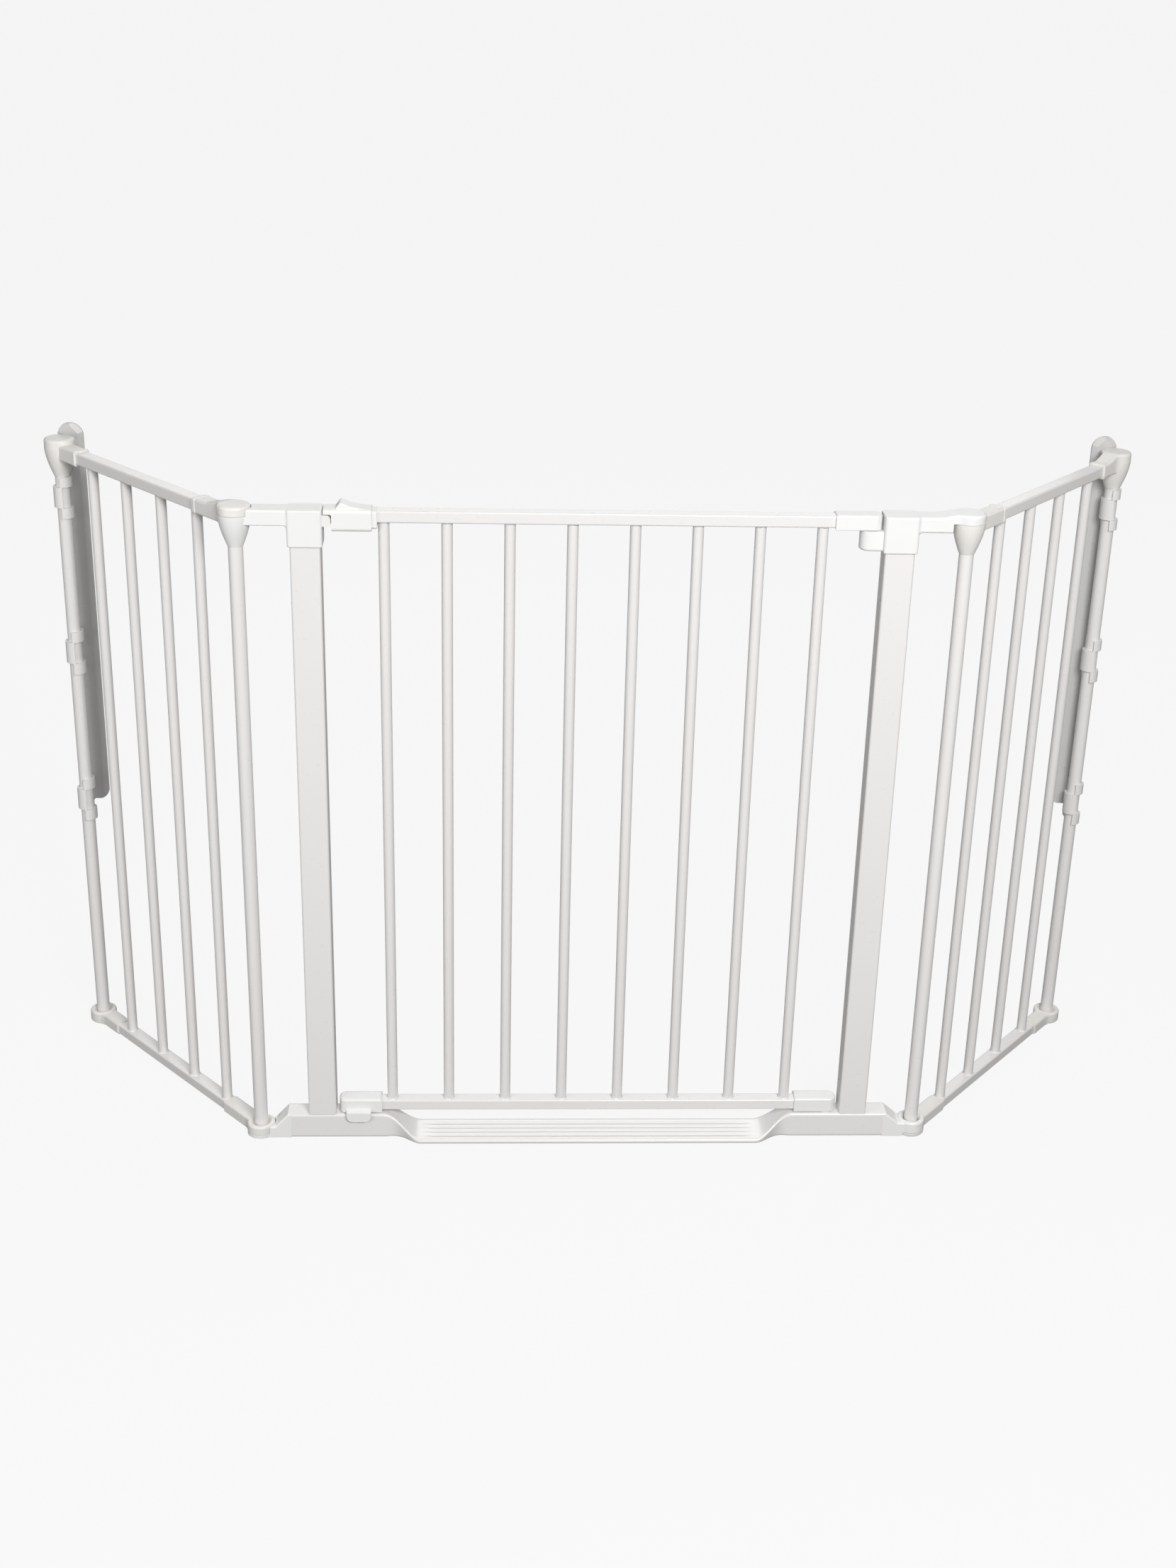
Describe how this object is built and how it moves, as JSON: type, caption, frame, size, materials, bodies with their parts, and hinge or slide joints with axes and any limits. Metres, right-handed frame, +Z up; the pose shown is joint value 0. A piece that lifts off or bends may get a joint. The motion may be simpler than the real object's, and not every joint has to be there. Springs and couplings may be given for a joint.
{
  "type": "safety baby gate",
  "caption": "Free-standing barred safety gate: a doorway section with a lifting, swinging leaf, and hinged side panels that end in wall rails.",
  "frame": {"origin": "middle of the footprint, on the floor", "axes": "+X along the doorway section to the right as seen from the front, +Z up, front towards -Y"},
  "size_m": [1.1825, 0.2998, 0.7242],
  "materials": {
    "white_enamel": "glossy white powder coat",
    "white_plastic": "moulded, satin gloss",
    "cream_plastic": "moulded, satin gloss, slightly cream",
    "rail_plastic": "moulded, satin",
    "nylon": "plain",
    "steel_pin": "zinc plated",
    "spring_wire": "bright wire"
  },
  "bodies": {
    "gate_frame": {"floor_tube": "white_enamel", "left_post": "white_enamel", "right_post": "white_enamel", "left_corner_cap": "white_plastic", "right_corner_cap": "white_plastic", "latch_strike": "cream_plastic", "left_foot_block": "white_plastic", "right_foot_block": "white_plastic", "left_hinge_tube": "white_enamel", "right_hinge_tube": "white_enamel", "hinge_tube_plugs": "nylon", "left_hinge_pins": "steel_pin", "right_hinge_pins": "steel_pin", "leaf_pin_bush": "nylon"},
    "leaf_pivot": {"leaf_hinge_pins": "steel_pin"},
    "gate_leaf": {"leaf_top_rail": "white_enamel", "leaf_bottom_rail": "white_enamel", "leaf_bars": "white_enamel", "leaf_hinge_cap": "white_plastic", "leaf_lower_hinge_cap": "white_plastic", "leaf_catch_cap": "white_plastic", "latch_core": "white_plastic", "latch_spring": "spring_wire"},
    "latch_slider": {"latch_slider": "white_plastic"},
    "left_panel": {"left_panel_bars": "white_enamel", "left_panel_bottom_rail": "white_enamel", "left_panel_end_cap": "cream_plastic", "left_panel_end_cup": "cream_plastic", "left_panel_end_pins": "steel_pin", "left_panel_end_tube": "white_enamel", "left_panel_inner_cup": "cream_plastic", "left_panel_inner_top_knuckle": "cream_plastic", "left_panel_outer_foot": "cream_plastic", "left_panel_outer_top_knuckle": "cream_plastic", "left_panel_top_rail": "white_enamel"},
    "right_panel": {"right_panel_bars": "white_enamel", "right_panel_bottom_rail": "white_enamel", "right_panel_end_cone": "cream_plastic", "right_panel_end_foot": "cream_plastic", "right_panel_end_pins": "steel_pin", "right_panel_end_tube": "white_enamel", "right_panel_inner_foot": "cream_plastic", "right_panel_inner_top_knuckle": "cream_plastic", "right_panel_outer_cup": "cream_plastic", "right_panel_outer_top_knuckle": "cream_plastic", "right_panel_top_rail": "white_enamel"},
    "left_wall_rail": {"left_wall_rail": "rail_plastic"},
    "right_wall_rail": {"right_wall_rail": "rail_plastic"}
  },
  "joints": [
    {"name": "gate_swing", "type": "hinge", "parent": "gate_frame", "child": "leaf_pivot", "pos_m": [0.262, -0.12268, 0.03], "axis": [0, 0, 1], "range_deg": [0, 100]},
    {"name": "gate_lift", "type": "slide", "parent": "leaf_pivot", "child": "gate_leaf", "axis": [0, 0, 1], "range_m": [0, 0.01]},
    {"name": "latch_slide", "type": "slide", "parent": "gate_leaf", "child": "latch_slider", "axis": [1, 0, 0], "range_m": [0, 0.008], "stiffness_N_per_m": 250, "springref_m": -0.004, "deforming": ["latch_spring"]},
    {"name": "left_panel_hinge", "type": "hinge", "parent": "gate_frame", "child": "left_panel", "pos_m": [-0.36, -0.12268, 0.3], "axis": [0, 0, 1], "range_deg": [-40.6, 49.4]},
    {"name": "right_panel_hinge", "type": "hinge", "parent": "gate_frame", "child": "right_panel", "pos_m": [0.36, -0.12268, 0.3], "axis": [0, 0, 1], "range_deg": [-49.4, 40.6]},
    {"name": "left_wall_rail_turn", "type": "hinge", "parent": "left_panel", "child": "left_wall_rail", "pos_m": [-0.57476, 0.12788, 0.45], "axis": [0, 0, 1], "range_deg": [-50, 50]},
    {"name": "right_wall_rail_turn", "type": "hinge", "parent": "right_panel", "child": "right_wall_rail", "pos_m": [0.57476, 0.12788, 0.45], "axis": [0, 0, 1], "range_deg": [-50, 50]}
  ]
}
